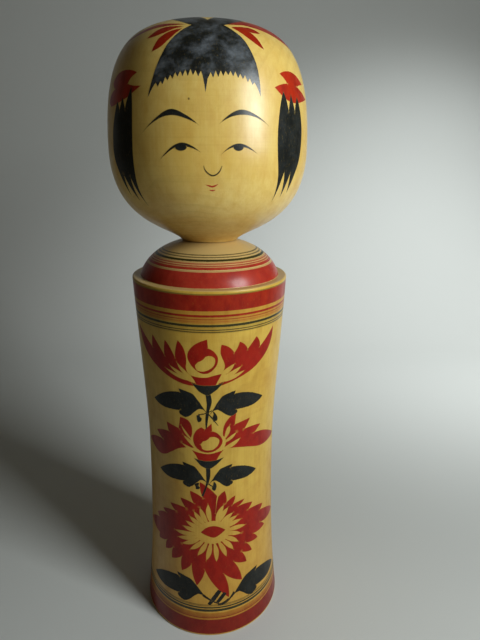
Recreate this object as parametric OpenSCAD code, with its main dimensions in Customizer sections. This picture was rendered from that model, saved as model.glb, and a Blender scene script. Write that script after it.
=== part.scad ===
// Kokeshi doll: a lathe-turned wooden head that snaps into the shoulder of a
// lathe-turned wooden body and turns there on its neck tenon.
// The origin is the centre of the base, +Z is the turning axis, -Y is the face side.

/* [Body] */
// Height of the body's side, from the base to the ledge round the shoulder
side_h = 289; // [240:1:330]
// Radius of the foot at the floor
foot_r = 57; // [53:0.5:62]
// Radius of the waist, the narrowest place of the side
waist_r = 50; // [46:0.5:52]
// Height of the waist above the floor
waist_h = 156; // [120:1:190]
// Radius of the rim at the top of the side
rim_r = 56.5; // [53.5:0.5:60]
// Round on the edges of the rim and the foot
edge_r = 1.2; // [0.5:0.1:2]

/* [Shoulder] */
// Radius of the shoulder dome where it rises from the ledge
dome_r = 50.6; // [46:0.2:52]
// Height of the shoulder dome above the ledge
dome_h = 25; // [20:1:36]
// Radius of the flat seat on top of the dome, under the chin
seat_r = 18; // [16:0.5:22]

/* [Head] */
// Height of the head from the chin to the crown
head_h = 135.7; // [115:0.1:150]
// Largest radius of the head, at the cheeks
head_r = 67.2; // [58:0.2:74]
// Height of the cheeks above the chin
cheek_h = 61; // [50:1:75]
// Radius of the flat under the chin
chin_r = 20; // [17:0.5:24]

/* [Neck joint] */
// Radius of the neck where it passes through the socket's lip
neck_r = 12; // [10:0.25:12.5]
// Radius of the bulb that holds the neck under the lip
bulb_r = 13; // [12.75:0.25:15]
// Length of the bulb, without its nose
bulb_h = 14; // [10:1:18]
// Depth of the socket's lip below the seat
lip_h = 8; // [6:0.5:12]
// Radial clearance of the turning fit
running_gap = 0.05; // [0.02:0.01:0.1]
// Vertical clearance under the chin, the lip and the nose
end_gap = 0.3; // [0.2:0.05:0.6]

/* [Hidden] */
$fn = 180;

curve_steps = 14;
cut_over = 1;
nose_h = 5;
nose_taper = 3;
lead_in = 1;

seat_z = side_h + dome_h;
chin_z = seat_z + end_gap;
cheek_z = chin_z + cheek_h;
crown_z = chin_z + head_h;
lip_z = seat_z - lip_h;
bulb_z = lip_z - end_gap;
nose_z = bulb_z - bulb_h;
tip_z = nose_z - nose_h;

wood_colour = "#dcb673";
head_colour = "#e6c587";

// Point at share t of the way along the cubic curve with control points p
function bezier(p, t) =
    pow(1 - t, 3) * p[0] + 3 * pow(1 - t, 2) * t * p[1]
    + 3 * (1 - t) * pow(t, 2) * p[2] + pow(t, 3) * p[3];

// Points of the curve after its first one
function curve(p) = [for (i = [1:curve_steps]) bezier(p, i / curve_steps)];

// Points of a round of radius r about (cx, cz), from angle a0 to a1
function round_edge(cx, cz, r, a0, a1, steps = 5) =
    [for (i = [0:steps]) let (a = a0 + (a1 - a0) * i / steps)
        [cx + r * cos(a), cz + r * sin(a)]];

// The body's side: it flares at the foot, draws in at the waist and widens to the rim
foot_to_waist = curve([
    [foot_r, edge_r], [foot_r - 2.2, edge_r + 20],
    [waist_r, waist_h * 0.42], [waist_r, waist_h]]);
waist_to_rim = curve([
    [waist_r, waist_h], [waist_r, waist_h + 32],
    [rim_r - 1.9, side_h - 46], [rim_r, side_h - edge_r]]);

// The shoulder dome, steep at the ledge and almost flat at the seat
ledge_to_seat = curve([
    [dome_r, side_h], [dome_r - 1.3, side_h + dome_h * 0.23],
    [dome_r - 8, seat_z - 5.8], [seat_r, seat_z]]);

// The head: a round jaw, upright cheeks and a broad, low crown
chin_to_cheek = curve([
    [chin_r, chin_z], [chin_r + 8.5, chin_z + 9.5],
    [head_r, cheek_z - 49], [head_r, cheek_z]]);
cheek_to_crown = curve([
    [head_r, cheek_z], [head_r, crown_z],
    [head_r * 0.58, crown_z], [0, crown_z]]);

// A round solid turned from an outline of [radius, height] points
module turned(outline) {
    rotate_extrude()
        polygon(outline);
}

// Cylinder of radius r from height z0 up to z1
module rod(r, z0, z1) {
    translate([0, 0, z0])
        cylinder(h = z1 - z0, r = r);
}

// Cone frustum from radius r0 at height z0 to radius r1 at height z1
module taper(r0, z0, r1, z1) {
    translate([0, 0, z0])
        cylinder(h = z1 - z0, r1 = r0, r2 = r1);
}

// The blind hollow for the neck: a lip, a wider chamber under it and a lead-in
module socket() {
    rod(neck_r + running_gap, lip_z - cut_over, seat_z + cut_over);
    rod(bulb_r + running_gap, tip_z - end_gap, lip_z);
    taper(neck_r, seat_z - lead_in, neck_r + 2 * lead_in, seat_z + lead_in);
}

// The tenon under the chin: a neck, a bulb that snaps under the lip and a tapered nose
module tenon() {
    rod(neck_r, bulb_z - cut_over, chin_z + cut_over);
    rod(bulb_r, nose_z, bulb_z);
    taper(bulb_r - nose_taper, tip_z, bulb_r, nose_z);
}

// Side, ledge and shoulder dome, turned in one piece, with the socket
module body() {
    color(wood_colour)
        difference() {
            turned(concat(
                [[0, 0]],
                round_edge(foot_r - edge_r, edge_r, edge_r, -90, 0),
                foot_to_waist,
                waist_to_rim,
                round_edge(rim_r - edge_r, side_h - edge_r, edge_r, 0, 90),
                [[dome_r, side_h]],
                ledge_to_seat,
                [[0, seat_z]]));
            socket();
        }
}

// Head and neck tenon, turned in one piece
module head() {
    color(head_colour)
        union() {
            turned(concat(
                [[0, chin_z], [chin_r, chin_z]],
                chin_to_cheek,
                cheek_to_crown));
            tenon();
        }
}

body();
head();
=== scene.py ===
"""Kokeshi doll: turned head and body with their brushwork, in a soft studio.

Lengths on the doll are in millimetres and angles in degrees. An angle on the doll is counted
from the face side (-Y) towards +X. Meshes are built in metres, in the frame of the CAD part.
"""
import math

import bpy
import numpy as np
from mathutils import Matrix, Vector, geometry, noise


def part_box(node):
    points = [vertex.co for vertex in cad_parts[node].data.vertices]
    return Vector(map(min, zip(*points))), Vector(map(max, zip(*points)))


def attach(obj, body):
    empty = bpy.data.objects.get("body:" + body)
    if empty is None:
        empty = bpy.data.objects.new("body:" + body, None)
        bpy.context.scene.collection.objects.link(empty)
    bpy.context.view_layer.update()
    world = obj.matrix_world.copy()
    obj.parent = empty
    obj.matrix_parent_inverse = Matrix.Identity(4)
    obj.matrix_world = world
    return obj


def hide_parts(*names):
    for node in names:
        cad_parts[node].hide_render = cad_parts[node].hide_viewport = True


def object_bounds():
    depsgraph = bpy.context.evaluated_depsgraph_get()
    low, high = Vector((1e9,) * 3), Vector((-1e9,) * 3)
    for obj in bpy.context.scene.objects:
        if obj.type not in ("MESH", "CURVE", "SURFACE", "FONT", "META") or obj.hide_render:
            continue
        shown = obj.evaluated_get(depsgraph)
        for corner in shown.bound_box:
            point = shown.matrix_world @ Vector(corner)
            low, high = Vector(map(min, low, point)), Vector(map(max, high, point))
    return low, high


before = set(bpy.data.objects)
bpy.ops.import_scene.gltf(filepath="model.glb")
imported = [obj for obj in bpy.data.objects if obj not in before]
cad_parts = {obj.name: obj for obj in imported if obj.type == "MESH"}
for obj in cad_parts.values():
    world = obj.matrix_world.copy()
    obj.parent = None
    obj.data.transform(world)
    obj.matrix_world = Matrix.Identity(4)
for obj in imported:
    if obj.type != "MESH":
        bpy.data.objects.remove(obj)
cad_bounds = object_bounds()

MM = 0.001
scene = bpy.context.scene
UV_MAP = "OFBake"


# ---- outlines of the two turned pieces

def from_frame(node, corner, axis):
    """A coordinate of a CAD node's box, in millimetres."""
    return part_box(node)[corner][axis] / MM


SEAT_Z = from_frame("body", 1, 2)
FOOT_R = from_frame("body", 1, 0)
CROWN_Z = from_frame("head", 1, 2)
HEAD_R = from_frame("head", 1, 0)
NOSE_TIP_Z = from_frame("head", 0, 2)

SIDE_H = SEAT_Z - 25
WAIST_R, WAIST_H = 50, 156
RIM_R, EDGE_R = 56.5, 1.2
DOME_R, SEAT_R = 50.6, 18
CHIN_R, CHIN_Z = 20, SEAT_Z + 0.3
CHEEK_Z = CHIN_Z + 61
NECK_R, BULB_R = 12, 13
LIP_Z, BULB_Z, BULB_FOOT_Z = SEAT_Z - 8, SEAT_Z - 8.3, SEAT_Z - 22.3
FIT = 0.05

FOOT_CURVE = [(FOOT_R, EDGE_R), (FOOT_R - 2.2, EDGE_R + 20), (WAIST_R, WAIST_H * 0.42), (WAIST_R, WAIST_H)]
RIM_CURVE = [(WAIST_R, WAIST_H), (WAIST_R, WAIST_H + 32), (RIM_R - 1.9, SIDE_H - 46),
    (RIM_R, SIDE_H - EDGE_R)]
EDGE_CURVE = [(RIM_R, SIDE_H - EDGE_R), (RIM_R, SIDE_H - 0.45 * EDGE_R),
    (RIM_R - 0.45 * EDGE_R, SIDE_H), (RIM_R - EDGE_R, SIDE_H)]
DOME_CURVE = [(DOME_R, SIDE_H), (DOME_R - 1.3, SIDE_H + 5.75), (DOME_R - 8, SEAT_Z - 5.8), (SEAT_R, SEAT_Z)]
JAW_CURVE = [(CHIN_R, CHIN_Z), (CHIN_R + 8.5, CHIN_Z + 9.5), (HEAD_R, CHEEK_Z - 49), (HEAD_R, CHEEK_Z)]
CROWN_CURVE = [(HEAD_R, CHEEK_Z), (HEAD_R, CROWN_Z), (HEAD_R * 0.58, CROWN_Z), (0, CROWN_Z)]


def bezier(control, count):
    """Points along a cubic curve."""
    p = np.array(control, float)
    t = np.linspace(0, 1, count)[:, None]
    s = 1 - t
    return s ** 3 * p[0] + 3 * s ** 2 * t * p[1] + 3 * s * t * t * p[2] + t ** 3 * p[3]


def arc(centre, radius, start, end, count):
    """Points along a round, angles in degrees."""
    a = np.radians(np.linspace(start, end, count))
    return np.stack([centre[0] + radius * np.cos(a), centre[1] + radius * np.sin(a)], 1)


TABLE_STEPS = 400


class Skin:
    """The outside of a turned piece as a table of radius, height and outward normal.

    Places on it are given as an angle and as v, which is the height above the floor, or on
    the head the way over the surface from the middle of the crown.
    """

    def __init__(self, curves, from_crown=False):
        line = np.vstack([bezier(c, TABLE_STEPS)[min(i, 1):] for i, c in enumerate(curves)])
        tangent = np.gradient(line, axis=0)
        tangent /= np.linalg.norm(tangent, axis=1)[:, None]
        normal = np.stack([tangent[:, 1], -tangent[:, 0]], 1)
        if from_crown:
            line, normal = line[::-1], normal[::-1]
            steps = np.hypot(*np.diff(line, axis=0).T)
            self.v = np.concatenate([[0], np.cumsum(steps)])
        else:
            self.v = line[:, 1]
        self.r, self.z = line.T
        self.nr, self.nz = normal.T

    def radius(self, v):
        """How far the surface is from the axis at v, in millimetres."""
        return np.interp(v, self.v, self.r)

    def place(self, angle, v, lift=0.0):
        """Points and outward normals at these angles and v, lift millimetres off the surface."""
        a = np.radians(angle)
        r, z, nr, nz = (np.interp(v, self.v, t) for t in (self.r, self.z, self.nr, self.nz))
        out = np.stack([nr * np.sin(a), -nr * np.cos(a), nz], 1)
        on = np.stack([r * np.sin(a), -r * np.cos(a), z], 1)
        return (on + lift * out) * MM, out


SIDE = Skin([FOOT_CURVE, RIM_CURVE, EDGE_CURVE])
DOME = Skin([DOME_CURVE])
HEAD = Skin([JAW_CURVE, CROWN_CURVE], from_crown=True)


# ---- node materials

class Nodes:
    """Adds shader nodes to a tree. An input is given a number, a colour or a socket to link from,
    and goes by its name, or by its place as i0, i1 and so on."""

    def __init__(self, tree):
        self.tree = tree

    def fill(self, shader_node, **inputs):
        for key, value in inputs.items():
            numbered = key[0] == "i" and key[1:].isdigit()
            socket = shader_node.inputs[int(key[1:]) if numbered else key.replace("_", " ")]
            if isinstance(value, bpy.types.NodeSocket):
                self.tree.links.new(value, socket)
            else:
                socket.default_value = value
        return shader_node

    def add(self, kind, settings=None, **inputs):
        new = self.tree.nodes.new(kind)
        for key, value in (settings or {}).items():
            setattr(new, key, value)
        return self.fill(new, **inputs)

    def place(self):
        return self.add("ShaderNodeTexCoord").outputs["Object"]

    def math(self, operation, a, b=0.0, c=0.0):
        return self.add("ShaderNodeMath", {"operation": operation}, i0=a, i1=b, i2=c).outputs[0]

    def ramp(self, value, low, high, to_low=0.0, to_high=1.0):
        """value carried from the range low..high to to_low..to_high, smoothly and clamped."""
        return self.add("ShaderNodeMapRange", {"interpolation_type": "SMOOTHSTEP"},
                        i0=value, i1=low, i2=high, i3=to_low, i4=to_high).outputs[0]

    def blend(self, share, a, b, mode="MIX"):
        """Colour a mixed with colour b."""
        a, b = (c if isinstance(c, bpy.types.NodeSocket) else (*c, 1) for c in (a, b))
        return self.add("ShaderNodeMix", {"data_type": "RGBA", "blend_type": mode},
                        i0=share, i6=a, i7=b).outputs[2]

    def noise(self, here, scale, offset=(0, 0, 0), detail=3, roughness=0.5, distortion=0.0):
        """Noise with this many lumps to the millimetre along each axis."""
        spread = self.add("ShaderNodeMapping", Vector=here, Location=offset, Scale=[s / MM for s in scale])
        return self.add("ShaderNodeTexNoise", Vector=spread.outputs[0], Scale=1.0, Detail=detail,
                        Roughness=roughness, Distortion=distortion).outputs["Fac"]


RING_PITCH, RING_WANDER = 3.4, 14
FLECK_R, FLECK_EDGE, FLECK_RAGGED = 0.5, 1.3, 0.8


def wood_group(name, pith, lean, pale, deep, aged, seed, tones, knots=()):
    """Even, close-grained wood as a solid texture: growth rings round a leaning pith, fibres
    along the turning axis, pores, fine lines from the lathe, and patches where the wax and the
    wood have yellowed. Each tone is a colour laid over the wood from one height to another,
    and each knot is the place of a tiny dark fleck. A ramp gives the range in which a noise
    comes to show, and how much."""
    tree = bpy.data.node_groups.new(name, "ShaderNodeTree")
    for socket, kind in (("Color", "NodeSocketColor"), ("Roughness", "NodeSocketFloat"),
                         ("Height", "NodeSocketFloat")):
        tree.interface.new_socket(socket, in_out="OUTPUT", socket_type=kind)
    t = Nodes(tree)
    here = t.place()
    trunk = t.add("ShaderNodeMapping", Vector=here, Location=[p * MM for p in (*pith, 0)],
                  Rotation=[math.radians(a) for a in (*lean, 0)])
    x, y, _ = t.add("ShaderNodeSeparateXYZ", i0=trunk.outputs[0]).outputs
    across = t.math("SQRT", t.math("ADD", t.math("POWER", x, 2.0), t.math("POWER", y, 2.0)))
    wander = t.noise(here, (0.02, 0.02, 0.006), seed)
    wavy = t.math("MULTIPLY_ADD", wander, RING_WANDER * MM, across)
    season = t.math("FRACT", t.math("MULTIPLY", wavy, 1 / (RING_PITCH * MM)))
    ring = t.math("MAXIMUM", t.ramp(season, 0.55, 0.97), t.ramp(season, 0.0, 0.06, 1.0, 0.0))
    strength = t.noise(here, (0.03, 0.03, 0.01), (seed[1], seed[0], 3), 2)
    ring = t.math("MULTIPLY", ring, t.ramp(strength, 0.35, 0.7, 0.15, 0.8))
    fibre = t.noise(here, (1.6, 1.6, 0.03), seed, 4, 0.65)
    streak = t.noise(here, (0.28, 0.28, 0.008), seed, 3, 0.55)
    pores = t.noise(here, (3.2, 3.2, 0.35), seed, 2)
    patch = t.noise(here, (0.022, 0.022, 0.014), (seed[2], seed[0], seed[1]), 4, 0.6)
    mottle = t.noise(here, (0.12, 0.12, 0.08), seed, 4, 0.6)
    lathe = t.noise(here, (0.015, 0.015, 1.1), seed, 3, 0.65)
    colour = t.blend(t.ramp(fibre, 0.3, 0.75, 0.0, 0.5), pale, deep)
    colour = t.blend(t.ramp(streak, 0.42, 0.72, 0.0, 0.55), colour, deep)
    colour = t.blend(t.math("MULTIPLY", ring, 0.34), colour, [c * 0.72 for c in deep])
    colour = t.blend(t.ramp(patch, 0.4, 0.75, 0.0, 0.6), colour, aged)
    colour = t.blend(t.ramp(mottle, 0.35, 0.8, 0.0, 0.28), colour, aged, "MULTIPLY")
    colour = t.blend(t.ramp(pores, 0.66, 0.78, 0.0, 0.3), colour, [c * 0.45 for c in deep])
    worn = t.math("MULTIPLY", t.ramp(lathe, 0.45, 0.8), t.ramp(patch, 0.35, 0.7, 0.1, 0.4))
    colour = t.blend(worn, colour, WORN, "MULTIPLY")
    z = t.add("ShaderNodeSeparateXYZ", i0=here).outputs[2]
    for full, none, tone, mode in tones:
        colour = t.blend(t.ramp(z, full * MM, none * MM, 1.0, 0.0), colour, tone, mode)
    for place in knots:
        away = t.add("ShaderNodeVectorMath", {"operation": "DISTANCE"}, i0=here, i1=place).outputs["Value"]
        ragged = t.math("MULTIPLY_ADD", fibre, FLECK_RAGGED * MM, away)
        colour = t.blend(t.ramp(ragged, FLECK_R * MM, FLECK_EDGE * MM, 0.8, 0.0), colour, FLECK)
    height = t.math("ADD", t.math("MULTIPLY", fibre, 0.6), t.math("MULTIPLY", pores, -0.4))
    t.add("NodeGroupOutput", i0=colour, i1=t.ramp(mottle, 0.3, 0.8, 0.36, 0.5), i2=height)
    return tree


WORN, FLECK = (0.80, 0.74, 0.66), (0.06, 0.035, 0.01)
FOOT_WARMTH_AND_SHADE, EDGE_TONE, CHIN_TONE = (0.94, 0.80, 0.70), (0.58, 0.40, 0.15), (0.90, 0.84, 0.86)
# The body's wood is darker than the head's, and the first of its tones makes it warmer and darker towards
# the foot: partly the wood's own colour, partly painted shade for the light falling off down the body.
BODY_WOOD = wood_group(
    "BodyWood", (4, -3), (1.2, -0.8), (0.67, 0.45, 0.074), (0.56, 0.335, 0.039), (0.53, 0.29, 0.028),
    (3.1, 7.7, 1.3), [(20, 190, FOOT_WARMTH_AND_SHADE, "MULTIPLY"), (SIDE_H - 0.05, SIDE_H - 0.7, EDGE_TONE, "MIX")])
HEAD_WOOD = wood_group(
    "HeadWood", (-5, 6), (-2.0, 1.4), (0.79, 0.58, 0.175), (0.70, 0.46, 0.098), (0.68, 0.41, 0.066),
    (8.4, 2.2, 5.9), [(CHIN_Z, CHIN_Z + 40, CHIN_TONE, "MULTIPLY")],
    [tuple(HEAD.place([-9.4], [95])[0][0])])
MATERIALS = {}


def new_material(name, group):
    """A material on the wood: its nodes, its shader and what the wood group gives."""
    MATERIALS[name] = bpy.data.materials.new(name)
    MATERIALS[name].use_nodes = True
    t = Nodes(MATERIALS[name].node_tree)
    return t, t.tree.nodes["Principled BSDF"], t.add("ShaderNodeGroup", {"node_tree": group}).outputs


def add_wood(name, group, coat):
    """Bare wood under wax, with the fine ridges of the turning tool."""
    t, shader, grain = new_material(name, group)
    ridges = t.noise(t.place(), (0.02, 0.02, 1.8), roughness=0.6)
    relief = t.math("ADD", t.math("MULTIPLY", grain["Height"], 0.5), ridges)
    bump = t.add("ShaderNodeBump", Strength=0.12, Distance=0.00012, Height=relief)
    t.fill(shader, Base_Color=grain["Color"], Roughness=grain["Roughness"], Normal=bump.outputs[0],
           Coat_Weight=coat, Coat_Roughness=0.27, Specular_IOR_Level=0.35)


def add_paint(name, group, colour, dark, cover, haze_and_sheen=0.0, shine=0.3):
    """Ink or dye on the wood: the grain shows through as far as cover leaves it. The pale clouds laid
    into the ink are partly the haze that old ink has and partly painted sheen, the light's pale bluish
    shine on the ink put into its colour."""
    t, shader, grain = new_material(name, group)
    here = t.place()
    edge = t.add("ShaderNodeAttribute", {"attribute_name": "cover"}).outputs["Fac"]
    pool = t.noise(here, (0.16, 0.16, 0.09), detail=4, roughness=0.6)
    speck = t.noise(here, (1.5, 1.5, 0.5), roughness=0.6)
    ink = t.blend(t.ramp(pool, 0.3, 0.75), colour, dark)
    # Pale clouds: the haze of old ink together with painted sheen.
    if haze_and_sheen:
        smoke = t.noise(here, (0.10, 0.10, 0.12), (4, 1, 9), 6, 0.66, 0.2)
        ink = t.blend(t.ramp(smoke, 0.38, 0.78, 0.0, haze_and_sheen), ink, INK_HAZE_AND_SHEEN)
    ink = t.blend(t.ramp(speck, 0.6, 0.85, 0.0, 0.35), ink, colour)
    ink = t.blend(t.ramp(speck, 0.5, 0.2, 0.0, 0.5), ink, dark)
    through = t.blend(0.65, ink, t.blend(1.0, grain["Color"], colour, "MULTIPLY"))
    laid = t.math("MULTIPLY", edge, t.ramp(speck, 0.15, 0.45, 0.82, 1.0))
    surface = t.blend(laid, grain["Color"], t.blend(cover, through, ink))
    bump = t.add("ShaderNodeBump", Strength=0.1, Distance=0.0001, Height=grain["Height"])
    t.fill(shader, Base_Color=surface, Roughness=t.ramp(pool, 0.3, 0.8, 0.3, 0.42), Normal=bump.outputs[0],
           Coat_Weight=0.6 * shine, Coat_Roughness=0.22, Specular_IOR_Level=shine)


RED, RED_DARK = (0.38, 0.013, 0.003), (0.23, 0.004, 0.002)
BOW_RED, RIM_RED = (0.50, 0.032, 0.010), (0.40, 0.026, 0.007)
# The dome's red is paler than the other reds: partly faded dye, partly painted sheen of the light on the
# dome put into its colour.
FADED_SHEEN_RED, FADED_SHEEN_RED_DARK = (0.46, 0.042, 0.023), (0.33, 0.020, 0.013)
# The foot's red is darker than the body's: partly its own colour, partly painted shade for the light that
# falls off towards the foot.
FOOT_SHADE_RED, FOOT_SHADE_RED_DARK = (0.27, 0.016, 0.006), (0.19, 0.008, 0.004)
# The last colour is the pale bluish clouds in black ink: partly the haze of old ink, partly painted sheen
# of the window light.
BLACK, BLACK_DARK, INK_HAZE_AND_SHEEN = (0.014, 0.016, 0.014), (0.006, 0.007, 0.007), (0.185, 0.205, 0.23)
GREEN, GREEN_DARK = (0.045, 0.042, 0.008), (0.018, 0.020, 0.005)

add_wood("head_wood", HEAD_WOOD, 0.45)
add_wood("body_wood", BODY_WOOD, 0.24)
add_paint("head_red", HEAD_WOOD, BOW_RED, RED_DARK, 0.5)
add_paint("ribbon_red", HEAD_WOOD, RIM_RED, RED_DARK, 0.5)
add_paint("body_red", BODY_WOOD, RED, RED_DARK, 0.55, shine=0.16)
# The dome's paler red holds painted sheen as well as fading.
add_paint("dome_red", BODY_WOOD, FADED_SHEEN_RED, FADED_SHEEN_RED_DARK, 0.7, shine=0.26)
add_paint("rim_red", BODY_WOOD, RIM_RED, RED_DARK, 0.55, shine=0.24)
# The foot's darker red holds painted shade.
add_paint("foot_red", BODY_WOOD, FOOT_SHADE_RED, FOOT_SHADE_RED_DARK, 0.6, shine=0.2)
# In the black inks the next-to-last number is how strongly the pale clouds of haze and painted sheen show;
# the hair has the most.
add_paint("head_black", HEAD_WOOD, BLACK, BLACK_DARK, 0.9, 0.08, 0.2)
add_paint("hair_black", HEAD_WOOD, BLACK, BLACK_DARK, 0.9, 0.78, 0.4)
add_paint("body_black", BODY_WOOD, BLACK, BLACK_DARK, 0.9, 0.05, 0.12)
add_paint("body_green", BODY_WOOD, GREEN, GREEN_DARK, 0.6)


# ---- meshes

SHARP_EDGE = math.radians(35)


def with_margin(share):
    """A share of a UV map's width or height, drawn in a little from the map's border."""
    return 0.01 + 0.98 * share


def in_scene(name, data):
    """A new object of this mesh, lamp or camera."""
    new = bpy.data.objects.new(name, data)
    scene.collection.objects.link(new)
    return new


def finish_piece(name, verts, faces, uvs, material, body, normals=None, cover=None):
    """A mesh object with its unrolled UV map and material, riding on a CAD body."""
    mesh = bpy.data.meshes.new(name)
    mesh.from_pydata([tuple(v) for v in verts], [], faces)
    mesh.uv_layers.new(name=UV_MAP).data.foreach_set("uv", np.asarray(uvs, np.float32).ravel())
    if cover is not None:
        amounts = np.asarray(cover, np.float32)
        mesh.attributes.new("cover", "FLOAT", "POINT").data.foreach_set("value", amounts)
    mesh.polygons.foreach_set("use_smooth", [True] * len(mesh.polygons))
    if normals is None:
        mesh.set_sharp_from_angle(angle=SHARP_EDGE)
    else:
        mesh.normals_split_custom_set_from_vertices([tuple(n) for n in normals])
    mesh.materials.append(MATERIALS[material])
    piece = in_scene(name, mesh)
    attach(piece, body)
    return piece


TURN_STEPS = 320


def turned(name, outline, body):
    """A solid of revolution from an outline that starts and ends on the axis, in the wood of
    the same name."""
    r, z = np.asarray(outline, float).T
    count = len(r)
    a = np.arange(TURN_STEPS) * 2 * math.pi / TURN_STEPS
    verts = [(0, 0, z[0] * MM)]
    for i in range(1, count - 1):
        verts += [(r[i] * math.sin(t) * MM, -r[i] * math.cos(t) * MM, z[i] * MM) for t in a]
    verts.append((0, 0, z[-1] * MM))
    length = np.concatenate([[0], np.cumsum(np.hypot(np.diff(r), np.diff(z)))])
    v = with_margin(length / length[-1])
    faces, uvs = [], []
    last = len(verts) - 1
    for i in range(count - 1):
        low, high = 1 + (i - 1) * TURN_STEPS, 1 + i * TURN_STEPS
        for j in range(TURN_STEPS):
            k = (j + 1) % TURN_STEPS
            u0, u1 = j / TURN_STEPS, (j + 1) / TURN_STEPS
            if i == 0:
                faces.append((0, high + k, high + j))
                uvs += [((u0 + u1) / 2, v[0]), (u1, v[1]), (u0, v[1])]
            elif i == count - 2:
                faces.append((low + j, low + k, last))
                uvs += [(u0, v[i]), (u1, v[i]), ((u0 + u1) / 2, v[-1])]
            else:
                faces.append((low + j, low + k, high + k, high + j))
                uvs += [(u0, v[i]), (u1, v[i]), (u1, v[i + 1]), (u0, v[i + 1])]
    return finish_piece(name, verts, faces, uvs, name, body)


# The last number of each stretch is how many points it gets. A point close beside an edge keeps
# the flat next to it shaded flat.
body_outline = np.vstack([
    np.linspace((0, 0), (FOOT_R - EDGE_R - 1, 0), 12),
    arc((FOOT_R - EDGE_R, EDGE_R), EDGE_R, -90, 0, 9),
    bezier(FOOT_CURVE, 84)[1:],
    bezier(RIM_CURVE, 72)[1:],
    bezier(EDGE_CURVE, 9)[1:],
    np.linspace((RIM_R - EDGE_R - 0.3, SIDE_H), (DOME_R + 0.3, SIDE_H), 6),
    bezier(DOME_CURVE, 60),
    np.linspace((SEAT_R - 0.3, SEAT_Z), (NECK_R + 2, SEAT_Z), 5),
    [(NECK_R + 1, SEAT_Z), (NECK_R + FIT, SEAT_Z - 1), (NECK_R + FIT, LIP_Z), (BULB_R + FIT, LIP_Z)],
    [(BULB_R + FIT, NOSE_TIP_Z - 0.3), (0, NOSE_TIP_Z - 0.3)],
])
head_outline = np.vstack([
    [(0, NOSE_TIP_Z), (BULB_R - 3, NOSE_TIP_Z), (BULB_R, BULB_FOOT_Z), (BULB_R, BULB_Z), (NECK_R, BULB_Z)],
    [(NECK_R, CHIN_Z), (NECK_R + 1, CHIN_Z)],
    np.linspace((NECK_R + 2, CHIN_Z), (CHIN_R, CHIN_Z), 5),
    bezier(JAW_CURVE, 90)[1:],
    bezier(CROWN_CURVE, 130)[1:],
])

wood_body = turned("body_wood", body_outline, "body")
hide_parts("body")
wood_head = turned("head_wood", head_outline, "head")
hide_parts("head")


# ---- outlines drawn with a brush

SPACING, SPAN_STEPS = 0.6, 24
STROKE_SPACING, LEAST_HALF_WIDTH = 0.5, 0.02
PETAL_BLUNTNESS = 0.8


def smooth_through(points, spacing):
    """An even row of points on a smooth curve through these ones."""
    p = np.asarray(points, float)
    if len(p) > 2:
        first, last = 3 * p[0] - 3 * p[1] + p[2], 3 * p[-1] - 3 * p[-2] + p[-3]
        q = np.vstack([first, p, last])
        t = np.linspace(0, 1, SPAN_STEPS)[:, None]
        p = np.vstack([0.5 * (2 * b + (c - a) * t + (2 * a - 5 * b + 4 * c - d) * t ** 2
                              + (3 * b - a - 3 * c + d) * t ** 3)
                       for a, b, c, d in zip(q, q[1:], q[2:], q[3:])])
    way = np.concatenate([[0], np.cumsum(np.hypot(*np.diff(p, axis=0).T))])
    even = np.linspace(0, way[-1], max(2, int(round(way[-1] / spacing)) + 1))
    return np.stack([np.interp(even, way, c) for c in p.T], 1)


def outline(start, *strokes, spacing=SPACING):
    """A closed outline. Each stroke is the points it passes through, and it ends in a corner."""
    loop, at = [], start
    for stroke in strokes if strokes[-1][-1] == start else (*strokes, [start]):
        loop.append(smooth_through([at, *stroke], spacing)[:-1])
        at = stroke[-1]
    return np.vstack(loop)


def petal(base, tip, half_width, bend=0.0, belly=0.5):
    """A petal pointed at both ends, widest at belly, its middle line bent aside by a share
    of its length."""
    base, tip = np.array(base, float), np.array(tip, float)
    along = tip - base
    side = np.array([-along[1], along[0]])
    t = np.linspace(0, 1, max(8, int(np.hypot(*along) / SPACING)))[:, None]
    middle = base + along * t + side * bend * 4 * t * (1 - t)
    wide = half_width * np.sin(np.pi * t ** (math.log(0.5) / math.log(belly))) ** PETAL_BLUNTNESS
    out = side / np.hypot(*side) * wide
    return np.vstack([(middle + out)[:-1], (middle - out)[::-1][:-1]])


# Middle lines of the strokes being painted, for the mesh to follow.
SPINES = []


def brush(points, widths):
    """A stroke along a smooth curve. The widths are spread evenly along it."""
    middle = smooth_through(points, STROKE_SPACING)
    run = np.gradient(middle, axis=0)
    run /= np.hypot(*run.T)[:, None]
    share = np.linspace(0, 1, len(middle))
    half = 0.5 * np.interp(share, np.linspace(0, 1, len(widths)), widths)
    out = np.stack([-run[:, 1], run[:, 0]], 1) * np.maximum(half, LEAST_HALF_WIDTH)[:, None]
    SPINES.append(middle)
    return np.vstack([middle + out, (middle - out)[::-1]])


def burst(tips, notches, bulge):
    """A ring of petals from tip to notch to tip, their sides bulging by a share of their length."""
    corners = [c for pair in zip(tips, notches) for c in pair]
    loop = []
    for a, b in zip(corners, corners[1:] + corners[:1]):
        a, b = np.array(a, float), np.array(b, float)
        side = np.array([-(b - a)[1], (b - a)[0]])
        loop.append(smooth_through([a, (a + b) / 2 + side * bulge, b], SPACING)[:-1])
    return np.vstack(loop)


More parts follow.
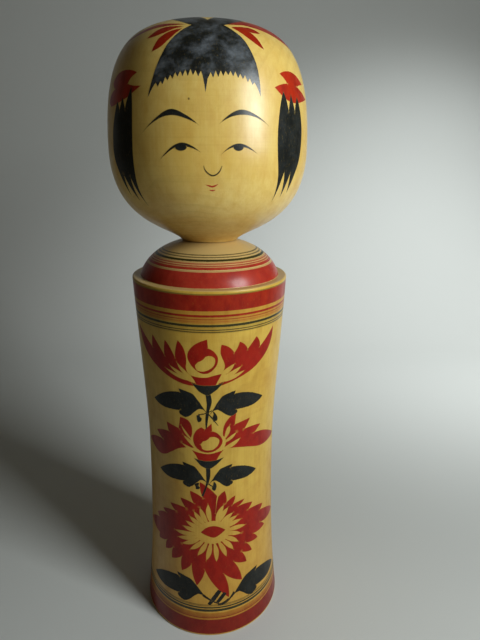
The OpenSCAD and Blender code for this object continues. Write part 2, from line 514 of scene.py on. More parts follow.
def leaf(joint, tip, swell):
    """A notched chrysanthemum leaf on a short stalk, hanging out from the joint to its tip."""
    joint, along = np.array(joint, float), np.array(tip, float) - joint
    up = np.array([-along[1], along[0]]) * np.sign(along[0]) * swell
    shape = outline(
        (0, 0), [(0.07, 0.09), (0.15, 0.20), (0.24, 0.30), (0.34, 0.335), (0.485, 0.355)],
        [(0.455, 0.295)], [(0.62, 0.262), (0.80, 0.17), (1, 0)],
        [(0.89, -0.045), (0.74, -0.062), (0.57, -0.042), (0.45, -0.02)],
        [(0.458, -0.06), (0.44, -0.088), (0.41, -0.098)],
        [(0.34, -0.118), (0.265, -0.07), (0.20, 0.005), (0.14, 0.062)],
        [(0.07, 0.055), (0.02, 0.0)], spacing=SPACING / np.hypot(*along))
    return joint + shape[:, :1] * along + shape[:, 1:] * up


def feathered(loop, amount, seed):
    """The edge as the ink left it: run a little along the upright fibres, a little uneven."""
    def uneven(across, upright, shift):
        """Noise with lumps of these millimetres."""
        return np.array([noise.noise((x / across, y / upright, seed + shift)) for x, y in loop])

    run = amount * (uneven(0.7, 9.0, 0) + 0.5 * uneven(0.3, 5.0, 4))
    wave = amount * 0.7 * uneven(3.0, 3.0, 9)
    return loop + np.stack([wave, run], 1)


# ---- thin layers of paint

BATCH, MERGE_GAP, TINY = 1000, 1e-4, 1e-12


def inside(points, a, b):
    """Which points lie inside the closed boundary made of the edges a to b."""
    odd = np.zeros(len(points), bool)
    for i in range(0, len(points), BATCH):
        x, y = points[i:i + BATCH, :1], points[i:i + BATCH, 1:]
        spans = (a[:, 1] > y) != (b[:, 1] > y)
        rise = np.where(a[:, 1] == b[:, 1], 1.0, b[:, 1] - a[:, 1])
        crossed = spans & (x < a[:, 0] + (y - a[:, 1]) / rise * (b[:, 0] - a[:, 0]))
        odd[i:i + BATCH] = crossed.sum(1) % 2 == 1
    return odd


def distance(points, a, b):
    """How far each point is from the nearest of the edges a to b."""
    far = np.empty(len(points))
    run = b - a
    square = np.maximum((run ** 2).sum(1), TINY)
    for i in range(0, len(points), BATCH):
        p = points[i:i + BATCH, None, :]
        t = np.clip(((p - a) * run).sum(2) / square, 0, 1)
        far[i:i + BATCH] = np.sqrt(((p - a - t[..., None] * run) ** 2).sum(2).min(1))
    return far


def rim_of(triangles):
    """The edges that only one triangle has, in its direction."""
    edges = {(t[i], t[(i + 1) % 3]) for t in triangles for i in range(3)}
    return [e for e in edges if (e[1], e[0]) not in edges]


# Rows of a grid of near-even triangles are this much closer than its points.
ROW_PITCH = 0.866
INSET_GAP = 0.15


def triangulated(add, cut, spines, step, soft):
    """The joined outlines in add less those in cut, as points, triangles, rim and cover. The
    points are step apart, and the cover comes up from 0 at the rim to 1 over the width soft."""
    flat, faces = [], []
    for loop in (*add, *cut):
        x, y = loop.T
        clockwise = (x * np.roll(y, -1) - y * np.roll(x, -1)).sum() < 0
        faces.append(list(range(len(flat), len(flat) + len(loop))))
        flat += [Vector(p) for p in (loop[::-1] if clockwise else loop)]
    corners, _, parts, _, _, owners = geometry.delaunay_2d_cdt(flat, [], faces, 0, MERGE_GAP, True)
    kept = [t for t, loops in zip(parts, owners) if loops and max(loops) < len(add)]
    rim = sorted(rim_of(kept))
    flat = np.array([tuple(p) for p in corners])
    a, b = (flat[[e[i] for e in rim]] for i in (0, 1))
    low, high = flat.min(0), flat.max(0)
    rows = np.arange(low[1], high[1], step * ROW_PITCH)
    grid = np.array([(x + (i % 2) * step / 2, y)
                     for i, y in enumerate(rows) for x in np.arange(low[0], high[0], step)])
    normal = np.stack([-(b - a)[:, 1], (b - a)[:, 0]], 1)
    normal /= np.maximum(np.hypot(*normal.T), TINY)[:, None]
    inset = (a + b) / 2 + normal * soft
    # Points with their least distance from the rim: a grid, a row along the rim, the spines.
    extra = [(grid, 0.6 * step), (inset, 0.9 * soft)] + [(s, 0.1) for s in spines]
    chosen = [p[(distance(p, a, b) > gap) & inside(p, a, b)] for p, gap in extra]
    for i in (0, 1):
        others = np.vstack([c for j, c in enumerate(chosen) if j > i] or [np.zeros((0, 2))])
        if len(others) and len(chosen[i]):
            near = np.array([np.hypot(*(others - p).T).min() for p in chosen[i]])
            chosen[i] = chosen[i][near > (0.5 * step, INSET_GAP)[i]]
    used = sorted({v for e in rim for v in e})
    place = {v: i for i, v in enumerate(used)}
    points = np.vstack([flat[used], *chosen])
    edges = [(place[e[0]], place[e[1]]) for e in rim]
    flat = [Vector(p) for p in points]
    corners, _, parts, *_ = geometry.delaunay_2d_cdt(flat, edges, [], 0, MERGE_GAP, False)
    points = np.array([tuple(p) for p in corners])
    triangles = np.array([t for t in parts if len(t) == 3])
    triangles = triangles[inside(points[triangles].mean(1), a, b)]
    cover = np.clip(distance(points, a, b) / soft, 0, 1)
    used, back = np.unique(triangles, return_inverse=True)
    triangles = back.reshape(triangles.shape)
    points, cover = points[used], cover[used]
    corner = points[triangles]
    area = np.cross(corner[:, 1] - corner[:, 0], corner[:, 2] - corner[:, 0])
    triangles = [tuple(int(v) for v in (t if up else t[::-1])) for t, up in zip(triangles, area > 0)]
    return points, triangles, rim_of(triangles), cover


# What is drawn in degrees on the head lies this much further from the crown than it says, and
# the plan of the crown is spread by this much.
HEAD_SHIFT, CROWN_SPREAD = 0.5, 1.006


def on_side(points):
    """Millimetres round the body from its front, and height, to angle and v."""
    return SIDE, np.degrees(points[:, 0] / SIDE.radius(points[:, 1])), points[:, 1]


def on_head(points):
    """Degrees round the head, and millimetres from the middle of the crown, to angle and v."""
    return HEAD, points[:, 0], points[:, 1] + HEAD_SHIFT


def on_crown(points):
    """A plan of the crown seen from above, in millimetres over its surface, to angle and v."""
    return HEAD, np.degrees(np.arctan2(points[:, 0], -points[:, 1])), CROWN_SPREAD * np.hypot(*points.T)


PAINT_ROOT = 0.08
TINT_LIFT, RED_LIFT, BLACK_LIFT = 0.03, 0.05, 0.08
# Shares of the UV map's width that the outer skin and the rest take.
OUTER_MAP, REST_MAP = (0.96, 0.0), (0.02, 0.97)


def layer(name, points, triangles, rim, cover, where, material, body, lift, turn=0.0):
    """A closed skin of paint a few hundredths of a millimetre proud of the wood. Where the
    paint goes round the whole piece, turn is the length of a turn in its plan."""
    skin, angle, v = where(points)
    top, out = skin.place(angle, v, lift)
    under, _ = skin.place(angle, v, -PAINT_ROOT)
    n = len(points)
    a, b, c = (top[[t[i] for t in triangles]] for i in range(3))
    facing = (np.cross(b - a, c - a) * out[[t[0] for t in triangles]]).sum()
    if facing < 0:
        triangles, rim = [t[::-1] for t in triangles], [e[::-1] for e in rim]
    faces = list(triangles) + [(t[2] + n, t[1] + n, t[0] + n) for t in triangles]
    faces += [(j, i, i + n, j + n) for i, j in rim]
    low, high = points.min(0), points.max(0)
    high[0] = low[0] + turn if turn else high[0]
    uvs = []
    for k, face in enumerate(faces):
        flat = points[[i % n for i in face]]
        if turn and np.ptp(flat[:, 0]) > turn / 2:
            flat[flat[:, 0] < low[0] + turn / 2, 0] += turn
        scale, shift = OUTER_MAP if k < len(triangles) else REST_MAP
        uvs += [(u * scale + shift, w) for u, w in with_margin((flat - low) / (high - low))]
    finish_piece(name, np.vstack([top, under]), faces, uvs, material, body,
                 np.vstack([out, -out]), np.tile(cover, 2))


def painted(name, add, cut=(), where=on_side, material="body_red", slot="red_paint",
            step=2.0, soft=0.25, feather=0.1, edge_cover=0.45):
    """Brushwork made of the outlines in add less those in cut, laid on the wood. Ink lies a
    little higher than dye, and the name sets how the edges run."""
    body = "body" if where is on_side else "head"
    lift = BLACK_LIFT if "black" in material else RED_LIFT
    seed = 0.37 * sum(map(ord, name))
    spines, SPINES[:] = list(SPINES), []
    loops = [feathered(loop, feather, seed) for loop in (*add, *cut)]
    points, triangles, rim, cover = triangulated(loops[:len(add)], loops[len(add):], spines, step, soft)
    layer(name, points, triangles, rim, edge_cover + (1 - edge_cover) * cover, where, material, body,
          lift)


RING_STEPS, RING_ROW, RING_WOBBLE = 480, 1.6, 0.1
RING_SOFT, TINT_SOFT = 0.12, 0.3
# The edge of a broad band is thinner in colour than that of a fine line.
BROAD_BAND, BROAD_EDGE, FINE_EDGE = 3, 0.35, 0.7


def wobble(around, seed):
    """How far a ring's edge wanders while the brush is held to the turning wood."""
    return np.array([RING_WOBBLE * (2.2 * abs(noise.noise((a * 1.1, 3.0, seed)))
                                    + 0.6 * noise.noise((a * 0.16, 7.0, seed))) for a in around])


def bands(name, skin, rings, material="body_red", slot="red_paint", tint=False):
    """Rings of paint laid on in the lathe. Each has a lower edge, an upper edge and a strength.
    A tint is a thin wash that lies under the other rings."""
    lift, soft = (TINT_LIFT, TINT_SOFT) if tint else (RED_LIFT, RING_SOFT)
    seed = 0.53 * sum(map(ord, name))
    around = np.arange(RING_STEPS) * 360 / RING_STEPS
    points, triangles, rim, cover = [], [], [], []
    for number, (low, high, strength) in enumerate(rings):
        tall = high - low
        inner = [tall / 2]
        if tall > 2.5 * soft:
            inner = np.linspace(soft, tall - soft, max(2, int(tall / RING_ROW)))
        share = np.concatenate([[0], inner, [tall]]) / tall
        rows, first = len(share), len(cover)
        bottom = low - wobble(around, seed + number)
        top = high + 0.5 * wobble(around, seed + (number + 5))
        heights = bottom[:, None] + (top - bottom)[:, None] * share
        points.append(np.stack([np.repeat(around, rows), heights.ravel()], 1))
        fade = BROAD_EDGE if tall > BROAD_BAND else FINE_EDGE
        cover += list(strength * np.tile(np.concatenate([[fade], np.ones(rows - 2), [fade]]), RING_STEPS))
        for i in range(RING_STEPS):
            here, there = first + i * rows, first + (i + 1) % RING_STEPS * rows
            for j in range(rows - 1):
                triangles += [(here + j, there + j, there + j + 1), (here + j, there + j + 1, here + j + 1)]
            rim += [(here, there), (there + rows - 1, here + rows - 1)]
    layer(name, np.vstack(points), triangles, rim, np.array(cover), lambda p: (skin, p[:, 0], p[:, 1]),
          material, "body", lift, turn=360.0)


HEAD_BLACK = dict(where=on_head, material="head_black", slot="black_paint")
HEAD_RED = dict(where=on_head, material="head_red", slot="red_paint")
RIBBON_RED = dict(HEAD_RED, material="ribbon_red")
BODY_BLACK = dict(material="body_black", slot="black_paint")
BODY_GREEN = dict(material="body_green", slot="green_paint")
FACE_BLACK, LOCK_BLACK = dict(HEAD_BLACK, feather=0.02), dict(HEAD_BLACK, feather=0.05, edge_cover=0.8)
LEAF_BLACK, STEM_BLACK = dict(BODY_BLACK, feather=0.2), dict(BODY_BLACK, edge_cover=0.9)


# ---- rings round the body

bands("dome_green_lines", DOME, [(307.7, 308.2, 0.8), (306.5, 307, 0.8), (304.6, 305.7, 1)], **BODY_GREEN)
bands("dome_tint", DOME, [(298.7, 304.4, 0.28)], tint=True)
bands("dome_red_bands", DOME,
    [(303, 303.6, 0.85), (301.9, 302.5, 0.9), (300, 301.4, 1), (289.2, 298.7, 1)], "dome_red")
bands("rim_tint", SIDE, [(266.6, 271.4, 0.42), (272.7, 275.4, 0.32)], tint=True)
bands("rim_red_bands", SIDE,
    [(267.9, 268.4, 0.7), (269.4, 270, 0.9), (271.3, 272.8, 1), (275.4, 286.3, 1)], "rim_red")
bands("rim_green_tint", SIDE, [(259.8, 266.6, 0.26)], tint=True, **BODY_GREEN)
bands("rim_green_lines", SIDE,
    [(260.5, 261.1, 0.95), (262, 262.6, 0.95), (264.4, 266, 1), (286.3, 287.1, 0.62)], **BODY_GREEN)
bands("foot_green_lines", SIDE,
    [(22.9, 25, 1), (25.9, 27.2, 1), (28, 28.5, 0.8), (29, 29.5, 0.85)], **BODY_GREEN)
bands("foot_tint", SIDE, [(15.2, 21.6, 0.4)], tint=True)
# The foot's red bands use the darker red that holds painted shade.
bands("foot_red_bands", SIDE,
    [(1.9, 15.2, 1), (16.8, 17.5, 1), (18, 18.5, 0.85), (19, 19.4, 0.75), (20, 20.4, 0.65)], "foot_red")


# ---- upper flower
# Points on the body are millimetres round it from its front, and height.

WING_LEFT = outline((-9.5, 220.8), [(-24, 222.6), (-42, 230.4), (-57, 241), (-65, 257)],
    [(-56, 251.5), (-46, 244.6)], [(-45.6, 249.5), (-45, 254)], [(-39.5, 248.2), (-34, 241)],
    [(-34, 247), (-33, 252.6)], [(-29, 248), (-25.2, 241)], [(-24.5, 247.5), (-22.6, 254)],
    [(-18.5, 248.5), (-16.8, 241.5), (-17.2, 235.2)], [(-16.4, 231.5), (-14.2, 228.7)])
FINGERS_LEFT = [petal((-12, 226), (-23.6, 236.8), 1.3, 0.06),
    petal((-12, 225.4), (-29.6, 233.9), 1.3, 0.04), petal((-11, 224.6), (-33.4, 231.2), 1.2, 0.04),
    outline((-9, 223), [(-14, 223.8), (-20, 226.2)], [(-18, 229.6)], [(-14.4, 228.8)])]
WING_RIGHT = outline((4.5, 220.4), [(17.5, 224.6), (34, 232), (47, 243.5), (51, 258)],
    [(45, 252.5), (37, 246)], [(36.2, 250.5), (33.5, 254.3)], [(30.5, 251), (26.2, 246.3)],
    [(24, 250), (20, 252.8)], [(18.7, 249), (16.2, 245.2)], [(12.5, 249.6), (7.3, 251.8)],
    [(6.6, 245.5), (8.6, 239.5), (9.4, 237)], [(9.2, 234), (7.5, 231)])
FINGERS_RIGHT = [petal((5.5, 229), (16.2, 236.6), 1.7, -0.06),
    petal((5.5, 226), (21.2, 233.9), 1.7, -0.05), petal((4.5, 224), (23.8, 230.4), 1.4, -0.04),
    outline((2, 222.4), [(7.5, 223.8), (11, 226.4)], [(9.5, 230.5), (7, 231.2)], [(2, 229)])]
CUP_UPPER = outline((-14.2, 229), [(-9, 227.7), (-3, 227.6), (2, 229), (7.6, 230.2)],
    [(5.5, 226), (3, 221)], [(-9.6, 220.6)], [(-11.5, 225)])
BUD_UPPER = outline((-2.2, 255.8), [(-1.7, 249.4)], [(2.8, 246.2), (5, 241.2), (3.6, 235.8),
    (-0.5, 231.5), (-4.5, 230.2), (-8.8, 231.8), (-13.5, 236.4), (-16, 242), (-14.6, 247.6),
    (-10, 252.4), (-2.2, 255.8)])
OVAL_UPPER = outline((-10.6, 236.6), [(-8.6, 239)], [(-5.6, 240.6), (-3.6, 243)],
    [(0, 243.6), (2.8, 241.4), (2.2, 237), (-0.8, 233.9), (-5, 232.2), (-9, 232.8)],
    [(-10.2, 234.2), (-10.6, 236.6)])

painted("upper_wings", [WING_LEFT, WING_RIGHT], FINGERS_LEFT + FINGERS_RIGHT)
painted("upper_cup", [CUP_UPPER])
painted("upper_bud", [BUD_UPPER], [OVAL_UPPER])


# ---- middle flower

WING_LEFT = outline((-12.5, 170.2),
    [(-23, 168.3), (-31, 163), (-38, 158), (-45, 156.2), (-53, 158), (-62.5, 161.5)],
    [(-52, 168), (-41, 170.3)], [(-44, 172.5), (-47.5, 175.5)], [(-40.5, 178.5), (-33.6, 179.6)],
    [(-34.5, 183), (-35.3, 187.2)], [(-29.5, 186), (-24.5, 184.8)], [(-23.8, 189), (-23, 194.4)],
    [(-17, 193), (-14.2, 188.5), (-13.9, 182.5), (-15.2, 178)], [(-14.8, 173.5), (-12.5, 170.2)])
FINGERS_LEFT = [petal((-14, 176.6), (-22, 187.2), 0.8, 0.04),
    petal((-12.5, 170.5), (-20.6, 179.4), 1.2, -0.06), petal((-8, 167.2), (-22, 172.6), 1.1, 0.05)]
WING_RIGHT = outline((6.5, 166.8), [(14, 169.2), (26.7, 166.8), (41, 162.2), (54, 161), (66, 161.4)],
    [(54, 169.4), (44, 174.4), (34.4, 176.4)], [(37.4, 178.6), (40.8, 181.4)],
    [(33.5, 183), (25, 182.8)], [(27.4, 186.4), (29.8, 190.8)], [(24, 190), (17.2, 188.6)],
    [(17.6, 193), (18.2, 198.4)], [(12.6, 194.5), (9, 188.5), (8.2, 180.5)],
    [(10.4, 174.5), (6.5, 166.8)])
FINGERS_RIGHT = [petal((8.6, 176), (12.9, 188), 1.5, -0.04, 0.65),
    petal((8.6, 174.6), (18.2, 181.4), 1.2, -0.04), petal((4.5, 168.4), (21.2, 175.8), 1.7, -0.06, 0.6)]
CUP_MIDDLE = outline((-14.6, 168.4), [(-8, 166.4), (-1.8, 165.8), (3.6, 167), (9, 168.6)],
    [(5.8, 164.5), (3.4, 159.4)], [(-9.4, 159.2)], [(-11.5, 164)])
BUD_MIDDLE = outline((0.2, 191.3), [(0.5, 184.8)], [(5, 182.2), (8, 176.6), (6.3, 171.4), (2, 168),
    (-2.8, 166.9), (-8.2, 168.2), (-12.3, 172.6), (-13.4, 178.6), (-11.2, 184.6), (-7, 188)],
    [(-4.8, 186.4)])
OVAL_MIDDLE = outline((-8, 173.6), [(-6, 176.2)], [(-3.2, 177.4), (-1.4, 179.4)],
    [(2, 179.9), (5.4, 177.4), (4.6, 173), (1.2, 169.6), (-3.4, 168.8), (-6.8, 170.2)],
    [(-7.2, 172), (-8, 173.6)])

painted("middle_wings", [WING_LEFT, WING_RIGHT], FINGERS_LEFT + FINGERS_RIGHT)
painted("middle_cup", [CUP_MIDDLE])
painted("middle_bud", [BUD_MIDDLE], [OVAL_MIDDLE])


# ---- chrysanthemum

TIPS = [(-9, 141.8), (9.6, 133.2), (18, 127.4), (26, 121.6), (33.8, 115.4), (46.6, 107), (69, 88),
    (50, 85), (40.5, 78.6), (34, 70.4), (28.6, 62.4), (24.4, 47), (13, 34.4), (-12.8, 46.8),
    (-25.4, 57.6), (-35, 65.2), (-42, 70.6), (-50.8, 75.4), (-67, 84.5), (-52.5, 98.4), (-43.8, 107.4),
    (-35, 116.4), (-25, 124.8), (-16.8, 133)]
NOTCHES = [(4.4, 128.4), (11, 122.8), (15.8, 119.6), (20.8, 117), (29.6, 110.4), (43, 103), (44, 90.5),
    (35.4, 85), (28.2, 80), (24, 73.4), (17.2, 66.6), (9, 57.4), (-6, 61.6), (-16.8, 65.8),
    (-25.2, 70.8), (-33.8, 75.4), (-40.5, 79.2), (-50.5, 80), (-50, 95.2), (-40.6, 105), (-29.8, 111),
    (-20.6, 116.8), (-14, 122.2), (-7, 128)]
BARE_TIPS = [(-3, 122), (8.6, 120.6), (12, 118), (15.8, 112.4), (19.4, 108.8), (23, 104.4), (26.8, 97.4),
    (22.8, 91.4), (20.6, 84.6), (16.4, 79), (10.8, 73.8), (3, 70.2), (-4.8, 71.6), (-11.6, 75.4),
    (-17.6, 79.8), (-24.2, 83.4), (-28, 88), (-30.4, 93.4), (-23.4, 99.8), (-20.6, 105), (-17.4, 110),
    (-13.8, 114.8), (-9.2, 118.6)]
HEART = (0.2, 97.2)
BARE = [outline((-14, 96), [(-9.6, 103), (0.5, 107.4), (10, 104.2), (14, 97.2), (10, 90), (0.5, 86.6),
    (-9.6, 89.6), (-14, 96)])]
BARE += [petal(np.array(HEART) + 0.3 * (np.array(tip) - HEART), tip, 1.9, 0.04, 0.56)
         for tip in BARE_TIPS]
LENS = outline((-9, 96.8), [(-4, 101.6), (1, 102.8), (5.6, 101.4), (10.2, 98.4)],
    [(6.6, 95.2), (1.6, 92.2), (-3.4, 93.6), (-9, 96.8)])
SLIT = petal((2.6, 114), (4.8, 132), 0.4, 0.02, 0.8)

painted("chrysanthemum", [burst(TIPS, NOTCHES, 0.06)], [*BARE, SLIT])
painted("chrysanthemum_heart", [LENS])


# ---- calyxes, stems, buds and leaves

painted("upper_calyx", [outline((-14, 223.6), [(-9, 221.8), (-3, 221.4), (4, 221.8), (9.4, 224.4)],
    [(5.2, 219.2), (0.8, 215.4), (-1.2, 214)], [(-4.4, 214.2), (-8.8, 217)])], **BODY_BLACK)
painted("upper_stem", [brush([(-3, 217), (-1.4, 209), (-2.4, 201), (-3.2, 195), (-3.6, 187)],
    [3.4, 3.8, 2.2, 2, 0.8]), brush([(0.5, 201.6), (-5.6, 198.8), (-9.2, 198.6)], [0.7, 0.8, 0.6]),
    brush([(-3.4, 200), (0.2, 196), (4.8, 189)], [0.9, 1, 0.3])], **STEM_BLACK)
painted("upper_leaves", [leaf((-2.6, 199.4), (-48, 202.6), 1.02), leaf((-1, 198.6), (42, 205), 0.95)],
    **LEAF_BLACK)
painted("upper_drops", [outline((-5.6, 199.8), [(-8, 198.6), (-10.6, 197.4)], [(-10.2, 193.6)],
    [(-9.4, 192)], [(-7.4, 192.8), (-6.6, 195.4)], [(-8, 196.8), (-7.6, 198)]),
    outline((1, 201.4), [(3, 199.4), (4.4, 196), (3.8, 193.4)], [(1.6, 192.4)],
    [(0.8, 195.5), (1.6, 198.4)])], **BODY_BLACK)
painted("middle_calyx", [outline((-13.4, 162.2), [(-8.6, 160.4), (-3, 159.8), (3, 160.4), (9.2, 162.6)],
    [(5, 158), (0.8, 154.4), (-0.8, 153.4)], [(-4, 153.4), (-8.4, 156)])], **BODY_BLACK)
painted("middle_stem", [brush([(-3, 156), (-2.6, 149), (-3.4, 141), (-7.2, 129.5)], [3.2, 3, 1.2, 1.6]),
    brush([(-3.6, 141), (-0.4, 138.6), (3, 136.6)], [0.9, 0.8, 0.4])], **STEM_BLACK)
painted("middle_leaves", [leaf((-2.8, 140.2), (-45.4, 142.8), 1.02),
    leaf((-2.2, 140), (37.2, 143.8), 0.98)], **LEAF_BLACK)
painted("middle_drops", [outline((-9.4, 140.6), [(-11, 140.8), (-13.4, 139)],
    [(-12.4, 137.4), (-12.2, 135)], [(-9.6, 135.2)], [(-8.6, 136.8)], [(-10, 138.2)]),
    outline((1.4, 142.4), [(3.4, 139.4), (3.2, 136), (1.8, 134)], [(0, 135.8), (0.6, 138.6)])],
    **BODY_BLACK)
painted("foot_leaves", [leaf((-4.6, 35.4), (-59.4, 38), 0.94), leaf((14.6, 33.6), (69, 36), 0.92),
    brush([(7, 29.2), (0, 32.6), (-8, 38.6)], [0.8, 1.4, 2.2]),
    brush([(9.6, 29.6), (13.6, 33), (17.4, 38.4)], [1, 1.6, 2.2])], **LEAF_BLACK)
painted("crossed_stems", [brush([(5.4, 42.4), (1.2, 36), (-3.4, 29.6)], [3.4, 3.8, 2.6]),
    brush([(9.8, 39.8), (6, 34.6), (2.8, 30.6)], [3, 3.2, 2.4]),
    brush([(12.8, 33.4), (9, 30.2), (4, 29.4)], [1.8, 2.6, 1.6])], **STEM_BLACK)


# ---- hair
# Points on the head are degrees round it, and millimetres over it from the crown. The tuft is
# drawn on the plan of the crown.

def in_plan(points):
    """Degrees and millimetres on the head as a plan of the crown."""
    a, s = np.radians(points[:, 0]), points[:, 1]
    return np.stack([s * np.sin(a), -s * np.cos(a)], 1)


FRINGE_ROOTS, FRINGE_TIPS, FRINGE_JOG = 79.2, 82.4, 1.1


def teeth(side, first, pitch, count):
    """The cut ends of the fringe from the parting outwards: a root, then a tip, and so on, each
    further down the forehead the further out it is."""
    ends = []
    for k in range(count):
        root, tip = first + pitch * k, first + pitch * (k + 0.5)
        jog = FRINGE_JOG * noise.noise((root * 3.7, side, 2.2))
        root_s = FRINGE_ROOTS + jog + 0.022 * (root - 8.5) ** 2
        tip_s = FRINGE_TIPS - jog + 0.024 * (tip - 10) ** 2
        ends += [[(side * root, root_s)], [(side * tip, tip_s)]]
    return ends


FRINGE = outline((-10.5, 50.6), [(-17, 56.4), (-22.2, 63.8), (-26.4, 74.5), (-29, 84), (-31, 93)],
    [(-28.4, 88), (-26.8, 85.6)], *teeth(-1, 3.5, 2.58, 9)[::-1], [(-2.3, 84), (-1.3, 91)], [(-0.2, 84)],
    *teeth(1, 1.3, 2.5, 9), [(23.8, 84.8)], [(25.4, 88), (26.8, 92)],
    [(26.8, 83), (25.6, 73), (21.6, 61.6), (16.4, 55), (10.5, 49.8)])
TUFT = outline((-9.2, -49.5), [(-12.6, -46.6), (-18.6, -38), (-21.6, -27.5)], [(-17.4, -30)],
    [(-15.2, -22.5)], [(-12.4, -28.5)], [(-8.4, -22.5)], [(-6.2, -31), (0, -43.8)],
    [(5.8, -31), (8.4, -22)], [(12, -28.5)], [(15.6, -22.2)], [(17.6, -29.6)], [(21.8, -27)],
    [(18.8, -37.6), (12.8, -46), (9.2, -49)], [(9, -53)], [(-9, -53.6)])

painted("hair_front", [in_plan(FRINGE), TUFT], where=on_crown, material="hair_black", slot="black_paint",
    soft=0.12, feather=0.05, edge_cover=0.98)

LOCK_RIGHT = outline((42.4, 88), [(39.2, 97), (37.4, 110), (37.8, 124), (40.2, 139), (40.8, 152.5)],
    [(42.6, 141), (44.2, 133)], [(45.6, 140), (46.9, 149.5)], [(48.4, 141), (50, 134)],
    [(51, 140), (52.2, 147)], [(54.4, 137), (58.6, 124), (60.2, 109), (58.4, 97), (55.2, 89.6)],
    [(53.2, 94), (52, 98)], [(50.4, 93), (48.9, 88.8)], [(47.4, 93), (46, 98.4)],
    [(44.4, 92), (42.4, 88)])
LOCK_LEFT = outline((-42.8, 86.6), [(-41.6, 97), (-41.6, 112), (-42.2, 132), (-42.6, 145), (-40.8, 156)],
    [(-44.4, 146), (-47, 137)], [(-47, 144), (-46.4, 152.4)], [(-50, 144), (-53.2, 136)],
    [(-53.4, 142), (-53, 149.5)], [(-57.2, 137), (-61.4, 124), (-61, 111), (-58.2, 101), (-55.4, 93.4)],
    [(-53.8, 96), (-52.6, 98.8)], [(-51.2, 95), (-50, 91.6)], [(-48.6, 95), (-47.4, 98.4)],
    [(-45.6, 93), (-42.8, 86.6)])
painted("side_lock_right", [LOCK_RIGHT], **LOCK_BLACK)
painted("side_lock_left", [LOCK_LEFT], **LOCK_BLACK)


# ---- ribbons and bows

painted("bow_right", [outline((41, 78.2), [(47, 76), (54, 75.8), (61, 78), (67, 81.4)],
    [(61, 82.4), (57.4, 83.6)], [(63, 85.8), (72.5, 89.2)],
    [(64, 91.4), (54, 93.4), (47, 93), (41.6, 90.6), (36.2, 86.2)], [(41, 84.2), (46.6, 83)],
    [(44.4, 80.6), (41, 78.2)])], **HEAD_RED)
painted("bow_left", [outline((-39.4, 79.2), [(-45.4, 77.2), (-53, 76.8), (-59.4, 78.6), (-63.8, 82.4)],
    [(-62.4, 84.6), (-60.6, 86.6)], [(-65.6, 89.4), (-68.4, 93.6)], [(-64, 96.2)],
    [(-55, 95), (-46, 92.4), (-41, 89.8), (-35.8, 86.6)], [(-41.4, 86.2), (-46, 84.8)],
    [(-43.8, 81.8), (-39.4, 79.2)])], **HEAD_RED)
painted("ribbon_left", [outline((-14, 49.6), [(-26, 47.4), (-38, 46.4), (-50, 50), (-66, 58)],
    [(-52, 54.4), (-40, 51.2), (-26, 49.8)]),
    outline((-15.4, 51.8), [(-21, 50.9), (-28, 50.9), (-33.6, 53), (-39, 59)],
    [(-33, 58.2), (-27, 56), (-21.6, 53.2)]),
    outline((-15.6, 53.4), [(-23, 55), (-28, 58.4), (-30.4, 62), (-31.9, 68.4)],
    [(-26, 65.2), (-21, 59.4), (-18, 55.6)])], **RIBBON_RED)
painted("ribbon_right", [outline((12, 49), [(22, 43), (38, 39.6), (56, 43.6), (72, 52), (84, 61.4)],
    [(70, 58.8), (58, 55.4), (42, 50.4), (26, 47.6)]),
    outline((15.6, 51.2), [(22, 50), (30, 49.8), (36.2, 53.6)], [(31, 54.4), (24, 53.2)]),
    outline((15.4, 51.4), [(24, 51.6), (29.8, 56.4), (33.4, 65.6)], [(27.6, 61.8), (21.6, 56.4)])],
    **RIBBON_RED)


# ---- face

painted("brow_left", [outline((-34.6, 112), [(-25.5, 103.4), (-18.3, 99.6), (-11, 102.6), (-4.6, 108)],
    [(-11, 104.7), (-17.8, 103), (-25.2, 105), (-34.6, 112)])], step=1, **FACE_BLACK)
painted("brow_right", [outline((4.8, 107.8), [(11, 101.6), (17, 99.5), (24.4, 102.2), (31.6, 107.8)],
    [(24.4, 103.6), (17.5, 102.3), (11, 103.6), (4.8, 107.8)])], step=1, **FACE_BLACK)
painted("eye_left", [outline((-24.8, 126.8), [(-18.8, 120), (-13.7, 117.3), (-9, 118.4), (-3.8, 122.4)],
    [(-7.5, 120.5), (-10.5, 119.6)], [(-11.3, 121.1), (-13.4, 121.8), (-15.5, 121.3), (-16.5, 120.1)],
    [(-20, 122.5), (-24.8, 126.8)])], step=0.9, **FACE_BLACK)
painted("eye_right", [outline((5.7, 124), [(10.2, 119.2), (14.8, 117.4), (19.5, 118.8), (24.9, 123)],
    [(20.7, 120.6), (17.4, 119.5)], [(16.4, 121), (14.6, 121.6), (12.8, 121), (11.9, 119.7)],
    [(9, 121.1), (5.7, 124)])], step=0.9, **FACE_BLACK)
painted("nose", [brush([(-2.5, 129.6), (-1.3, 133), (1.8, 135.2), (4.7, 133.6), (6.5, 129.6)],
    [0.3, 0.8, 1, 0.8, 0.3])], step=0.8, **FACE_BLACK)
painted("mouth", [outline((-2.2, 140.3), [(0.5, 140.7), (1.5, 141.1), (2.6, 140.7), (5, 139.8)],
    [(3.3, 141.6), (1.5, 142.2), (-0.4, 141.5), (-2.2, 140.3)]),
    brush([(0.2, 143.6), (1.7, 144), (3.2, 143.6)], [0.5, 1.1, 0.5])], step=0.8, feather=0.02,
    **HEAD_RED)


# ---- studio

TALL = cad_bounds[1][2]
FLOOR_FRONT, FLOOR_BACK, SWEEP_R, WALL_TOP, FLOOR_SIDE = -3.5, 1.2, 0.9, 4.5, 4.0


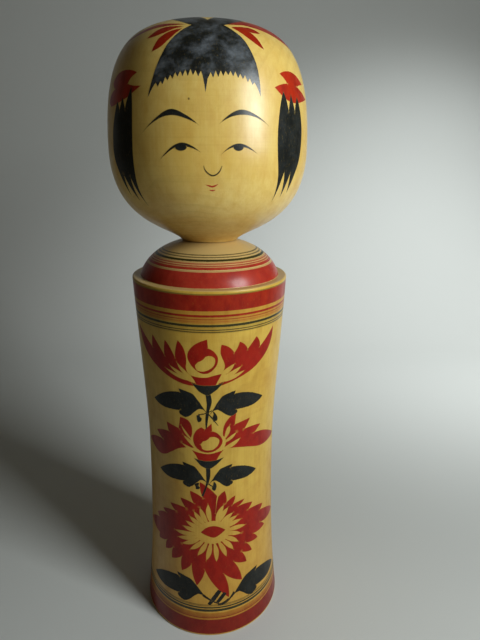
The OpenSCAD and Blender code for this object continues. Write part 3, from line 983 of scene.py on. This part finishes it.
def studio_floor():
    """A pale floor that curves up into the backdrop. Its measures are in heights of the doll."""
    paper = bpy.data.materials.new("paper")
    paper.use_nodes = True
    t = Nodes(paper.node_tree)
    grey = t.blend(t.noise(t.place(), (0.9, 0.9, 0.9)), (0.64, 0.65, 0.63), (0.68, 0.69, 0.67))
    t.fill(t.tree.nodes["Principled BSDF"], Base_Color=grey, Roughness=0.9)
    sweep = [(FLOOR_FRONT, 0.0), (FLOOR_BACK, 0.0)]
    sweep += [(FLOOR_BACK + SWEEP_R * math.sin(a), SWEEP_R * (1 - math.cos(a)))
              for a in np.radians(np.arange(5, 91, 5))]
    sweep.append((FLOOR_BACK + SWEEP_R, WALL_TOP))
    verts = [(side * FLOOR_SIDE * TALL, y * TALL, z * TALL) for y, z in sweep for side in (-1, 1)]
    faces = [(2 * i, 2 * i + 1, 2 * i + 3, 2 * i + 2) for i in range(len(sweep) - 1)]
    mesh = bpy.data.meshes.new("backdrop")
    mesh.from_pydata(verts, [], faces)
    mesh.polygons.foreach_set("use_smooth", [True] * len(faces))
    mesh.materials.append(paper)
    floor = in_scene("backdrop", mesh)


def light(name, kind, place, aim, watts, colour, **settings):
    """A lamp turned to its aim. Both places are in heights of the doll."""
    lamp = bpy.data.lights.new(name, kind)
    lamp.energy, lamp.color = watts, colour
    for key, value in settings.items():
        setattr(lamp, key, value)
    holder = in_scene(name, lamp)
    holder.location = Vector(place) * TALL
    holder.rotation_euler = (Vector(aim) - Vector(place)).to_track_quat("-Z", "Y").to_euler()


CAMERA_AT = (0, -0.8085, 0.8208)
SENSOR_HEIGHT, FOCAL_LENGTH = 36, 28
YAW, PITCH, ROLL = (math.radians(a) for a in (3.58, 17.94, 0.56))


def photo_camera():
    """A short lens close to the doll, a little above its chin and tilted down."""
    ahead = Vector((math.sin(YAW) * math.cos(PITCH), math.cos(YAW) * math.cos(PITCH), -math.sin(PITCH)))
    right = Vector((math.cos(YAW), -math.sin(YAW), 0))
    up = right.cross(ahead)
    right, up = (math.cos(ROLL) * right + math.sin(ROLL) * up,
                 math.cos(ROLL) * up - math.sin(ROLL) * right)
    lens = bpy.data.cameras.new("camera")
    lens.sensor_fit, lens.sensor_height, lens.lens = "VERTICAL", SENSOR_HEIGHT, FOCAL_LENGTH
    lens.clip_start = 0.01
    camera = in_scene("camera", lens)
    turn = Matrix((right, up, -ahead)).transposed().to_4x4()
    camera.matrix_world = Matrix.Translation(Vector(CAMERA_AT) * TALL) @ turn
    scene.camera = camera


DAYLIGHT, WALL_LIGHT, LAMPLIGHT = (0.94, 1.0, 1.0), (0.95, 1.0, 1.0), (1.0, 0.72, 0.32)
GLOW, SKY = (0.95, 0.76, 0.44, 1), (0.36, 0.37, 0.36, 1)

studio_floor()
photo_camera()
light("window", "AREA", (1.2, -1.03, 1.28), (0, 0, 0.9), 6.0, DAYLIGHT,
    shape="RECTANGLE", size=0.6 * TALL, size_y=0.85 * TALL)
light("room", "AREA", (-2.2, -1.6, 0.8), (0, 0, 0.3), 0.17, LAMPLIGHT,
    shape="RECTANGLE", size=2 * TALL, size_y=1.5 * TALL)
light("wall", "SPOT", (1.7, 0.3, 2.1), (1.1, 1.5, 0.15), 38, WALL_LIGHT,
    spot_size=math.radians(78), spot_blend=1, shadow_soft_size=0.05)

world = scene.world or bpy.data.worlds.new("World")
scene.world = world
world.use_nodes = True
sky = Nodes(world.node_tree)
glow = sky.fill(sky.tree.nodes["Background"], Color=GLOW, Strength=0.023)
seen = sky.add("ShaderNodeBackground", Color=SKY, Strength=1.0)
straight = sky.add("ShaderNodeLightPath").outputs["Is Camera Ray"]
either = sky.add("ShaderNodeMixShader", i0=straight, i1=glow.outputs[0], i2=seen.outputs[0])
sky.fill(sky.tree.nodes["World Output"], Surface=either.outputs[0])
scene.view_settings.view_transform = "Standard"
